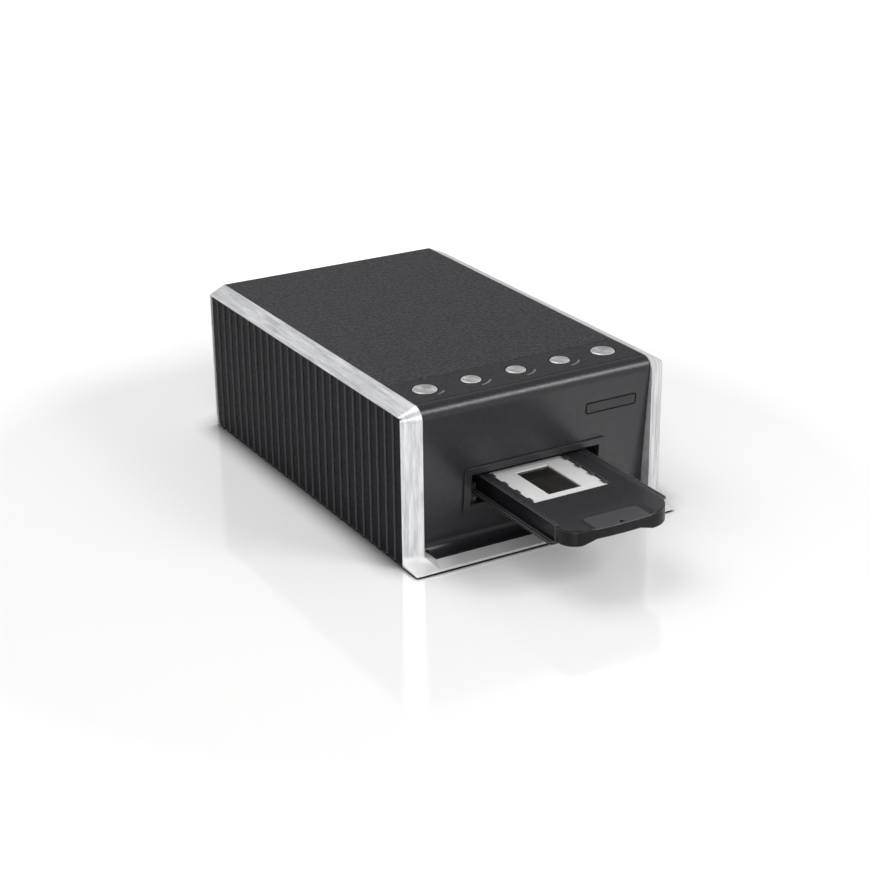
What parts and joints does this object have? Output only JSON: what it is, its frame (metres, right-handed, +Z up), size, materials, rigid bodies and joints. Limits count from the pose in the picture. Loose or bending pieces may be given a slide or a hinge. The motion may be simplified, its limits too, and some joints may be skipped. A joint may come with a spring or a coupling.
{
  "type": "slide and film scanner",
  "caption": "Desktop scanner for mounted slides: black case with ribbed sides and silver side frames, push buttons on top and a slide holder drawn through a front slot.",
  "frame": {"origin": "on the underside of the base pan, on the middle line, halfway between the front lip and the rear face of the case", "axes": "+X to the right seen from the front, +Y to the rear, +Z up"},
  "size_m": [0.175, 0.3424, 0.0952],
  "materials": {
    "silver": "satin silver paint with a fine brushed grain",
    "side_black": "fine matt texture",
    "top_grain": "leather-like grain, matt",
    "front_black": "satin, fine texture",
    "badge": "smooth, with a thin raised outline",
    "case_black": "fine matt texture",
    "foot_rubber": "matt",
    "screw_steel": "zinc plated",
    "button_metal": "turned, satin",
    "board_green": "lacquered circuit board",
    "switch_black": "moulded, matt",
    "port_steel": "plated",
    "holder_black": "satin black",
    "mount_white": "smooth, matt",
    "film": "dark film",
    "rail_plastic": "moulded, matt",
    "sheet_steel": "zinc plated sheet",
    "motor_paint": "black, satin",
    "shaft_steel": "ground",
    "gear_white": "moulded acetal",
    "brass": "turned",
    "optics_black": "dead matt",
    "diffuser_white": "opal",
    "mirror": "polished",
    "lens_glass": "clear, coated",
    "sensor_black": "smooth"
  },
  "bodies": {
    "housing": {"left_side_frame": "silver", "right_side_frame": "silver", "front_sill": "silver", "left_rib_panel": "side_black", "right_rib_panel": "side_black", "top_cover": "top_grain", "front_panel": "front_black", "button_panel": "front_black", "slot_surround": "front_black", "badge_plate": "badge", "rear_panel": "case_black", "base_pan": "case_black", "rubber_feet": "foot_rubber", "case_screws": "screw_steel", "chassis_screws": "screw_steel", "board_screws": "screw_steel", "motor_screws": "screw_steel", "button_board": "board_green", "lamp_board": "board_green", "sensor_board": "board_green", "main_board": "board_green", "button_switches": "switch_black", "main_board_chips": "switch_black", "power_inlet": "switch_black", "usb_port": "port_steel", "left_guide_rail": "rail_plastic", "right_guide_rail": "rail_plastic", "scan_chassis": "sheet_steel", "gear_bracket": "sheet_steel", "shaft_support": "sheet_steel", "lamp_bridge": "sheet_steel", "stepper_motor": "motor_paint", "reduction_pin": "shaft_steel", "shaft_bushes": "brass", "lamp_housing": "optics_black", "mirror_mount": "optics_black", "lens_mount": "optics_black", "lens_barrel": "optics_black", "lamp_diffuser": "diffuser_white", "mirror_plate": "mirror", "lens_glass": "lens_glass", "image_sensor": "sensor_black"},
    "holder": {"holder_base": "holder_black", "holder_deck": "holder_black", "slide_mount": "mount_white", "film_chip": "film"},
    "pinion_shaft": {"drive_shaft": "shaft_steel", "drive_gear": "gear_white", "rack_pinion": "gear_white"},
    "reduction": {"reduction_gear": "gear_white"},
    "motor_rotor": {"motor_shaft": "shaft_steel", "motor_gear": "brass"},
    "left_end_button": {"left_end_button": "button_metal"},
    "left_button": {"left_button": "button_metal"},
    "middle_button": {"middle_button": "button_metal"},
    "right_button": {"right_button": "button_metal"},
    "right_end_button": {"right_end_button": "button_metal"}
  },
  "joints": [
    {"name": "holder_slide", "type": "slide", "parent": "housing", "child": "holder", "axis": [0, 1, 0], "range_m": [-0.146, 0.065]},
    {"name": "pinion_spin", "type": "hinge", "parent": "housing", "child": "pinion_shaft", "pos_m": [-0.05, -0.092, 0.0233], "axis": [1, 0, 0], "range_deg": [-534, 1197]},
    {"name": "reduction_spin", "type": "hinge", "parent": "housing", "child": "reduction", "pos_m": [-0.05, -0.07797, 0.0314], "axis": [1, 0, 0], "range_deg": [-3416, 1522]},
    {"name": "motor_spin", "type": "hinge", "parent": "housing", "child": "motor_rotor", "pos_m": [-0.05, -0.06617, 0.02314], "axis": [1, 0, 0], "range_deg": [-4562, 10245]},
    {"name": "left_end_button_press", "type": "slide", "parent": "housing", "child": "left_end_button", "axis": [0, 0, -1], "range_m": [0, 0.0008], "stiffness_N_per_m": 600, "springref_m": -0.001},
    {"name": "left_button_press", "type": "slide", "parent": "housing", "child": "left_button", "axis": [0, 0, -1], "range_m": [0, 0.0008], "stiffness_N_per_m": 600, "springref_m": -0.001},
    {"name": "middle_button_press", "type": "slide", "parent": "housing", "child": "middle_button", "axis": [0, 0, -1], "range_m": [0, 0.0008], "stiffness_N_per_m": 600, "springref_m": -0.001},
    {"name": "right_button_press", "type": "slide", "parent": "housing", "child": "right_button", "axis": [0, 0, -1], "range_m": [0, 0.0008], "stiffness_N_per_m": 600, "springref_m": -0.001},
    {"name": "right_end_button_press", "type": "slide", "parent": "housing", "child": "right_end_button", "axis": [0, 0, -1], "range_m": [0, 0.0008], "stiffness_N_per_m": 600, "springref_m": -0.001}
  ],
  "couplings": [
    {"joint": "pinion_spin", "follows": "holder_slide", "rad_per_m": -142.86},
    {"joint": "reduction_spin", "follows": "holder_slide", "rad_per_m": 408.16},
    {"joint": "motor_spin", "follows": "holder_slide", "rad_per_m": -1224.5}
  ]
}
